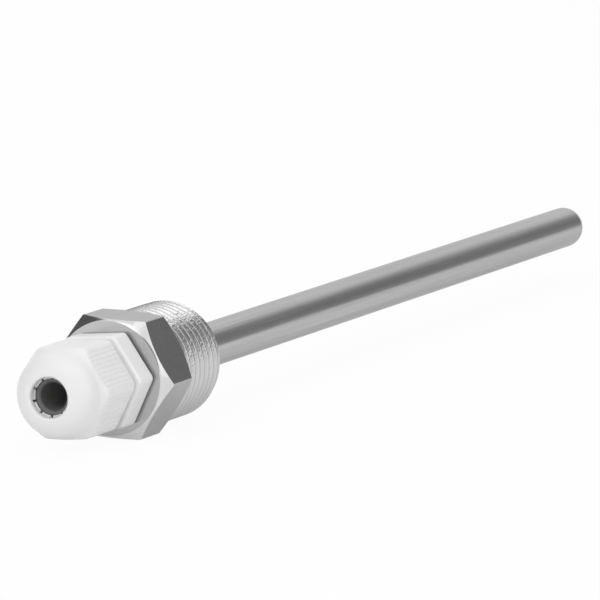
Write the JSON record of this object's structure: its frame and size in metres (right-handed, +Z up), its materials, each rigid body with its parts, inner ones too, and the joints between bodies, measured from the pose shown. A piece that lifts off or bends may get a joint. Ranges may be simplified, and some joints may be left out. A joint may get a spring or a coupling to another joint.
{
  "type": "temperature sensor pocket",
  "caption": "Screw-in immersion pocket for a temperature sensor: long closed steel tube, hexagon fitting with a pipe thread, and a nylon cable gland with a domed cap nut that turns.",
  "frame": {"origin": "centre of the sealing shoulder, where the pipe thread meets the steel hexagon", "axes": "+X along the tube towards its closed tip, +Z up as the part lies on a table, with a flat of the steel hexagon rolled 2.6 degrees from level"},
  "size_m": [0.2327, 0.024, 0.0216],
  "materials": {
    "tube_steel": "drawn stainless steel, lightly brushed along the tube",
    "fitting_steel": "turned stainless steel with fine turning marks",
    "gasket_rubber": "matt black rubber",
    "gland_nylon": "satin white moulded nylon",
    "seal_rubber": "matt dark grey rubber",
    "nut_nylon": "satin white moulded nylon, finely ribbed on its flats"
  },
  "bodies": {
    "pocket": {"pocket_tube": "tube_steel", "hex_fitting": "fitting_steel", "gland_gasket": "gasket_rubber", "gland_body": "gland_nylon", "seal_insert": "seal_rubber"},
    "cap": {"cap_nut": "nut_nylon"}
  },
  "joints": [
    {"name": "cap_turn", "type": "hinge", "parent": "pocket", "child": "cap", "pos_m": [-0.0221, 0, 0], "axis": [1, 0, 0], "range_deg": [-330, 390]}
  ]
}
